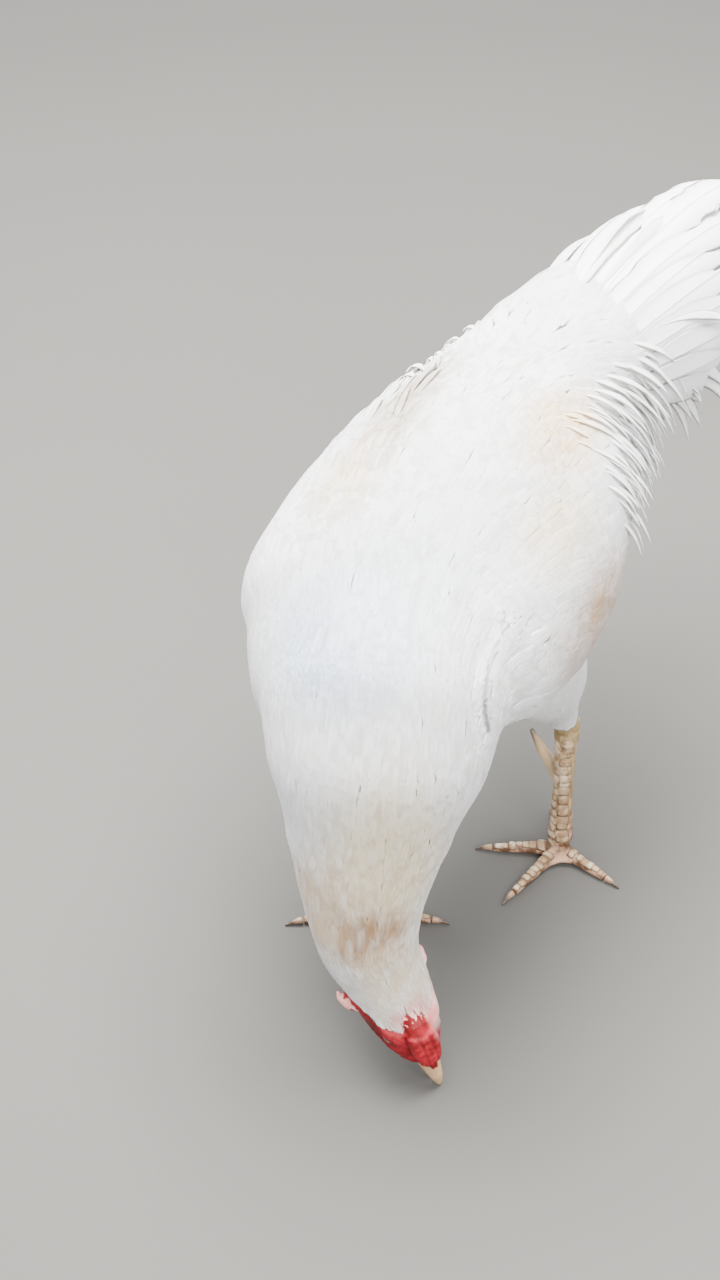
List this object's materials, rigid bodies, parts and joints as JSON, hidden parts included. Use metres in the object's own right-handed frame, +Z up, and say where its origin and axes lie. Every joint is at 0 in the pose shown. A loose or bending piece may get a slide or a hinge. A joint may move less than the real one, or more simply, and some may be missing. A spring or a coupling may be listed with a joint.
{
  "type": "aseel chicken",
  "caption": "Life-size still model of a white game cock pecking at the ground, with folded wings, a tented tail and strong scaled legs.",
  "frame": {"origin": "on the ground, under the centre of the whole bird's box", "axes": "+Z up, -Y the way the bird heads, +Y from head to tail (its longest extent), +X the bird's left"},
  "size_m": [0.2682, 0.6, 0.4498],
  "materials": {
    "plumage": "soft matt white feathers with cream and pale blue-grey shades",
    "bare_skin": "wrinkled red skin with a slight sheen",
    "lobe_skin": "pinkish white soft skin",
    "horn": "pale horn, half glossy, darker towards the tips of the spurs",
    "scale": "tan scales with brown lines between them",
    "eye": "wet and glossy"
  },
  "bodies": {
    "root": {"breast": "plumage", "back": "plumage", "rump": "plumage", "neck_lower": "plumage", "neck_upper": "plumage", "head": "plumage", "comb": "bare_skin", "dewlap": "bare_skin", "ear_lobe_left": "lobe_skin", "ear_lobe_right": "lobe_skin", "bill_upper": "horn", "bill_lower": "horn", "eye_left": "eye", "eye_right": "eye", "wing_left": "plumage", "wing_right": "plumage", "primaries_left": "plumage", "primaries_right": "plumage", "saddle_left": "plumage", "saddle_right": "plumage", "tail_coverts": "plumage", "under_tail": "plumage", "tail_left": "plumage", "tail_right": "plumage", "sickle_left": "plumage", "sickle_right": "plumage", "thigh_left": "plumage", "thigh_right": "plumage", "shank_left": "scale", "shank_right": "scale", "spur_left": "horn", "spur_right": "horn", "toe_middle_left": "scale", "toe_outer_left": "scale", "toe_inner_left": "scale", "toe_hind_left": "scale", "toe_middle_right": "scale", "toe_outer_right": "scale", "toe_inner_right": "scale", "toe_hind_right": "scale", "claw_middle_left": "horn", "claw_outer_left": "horn", "claw_inner_left": "horn", "claw_hind_left": "horn", "claw_middle_right": "horn", "claw_outer_right": "horn", "claw_inner_right": "horn", "claw_hind_right": "horn"}
  },
  "joints": []
}
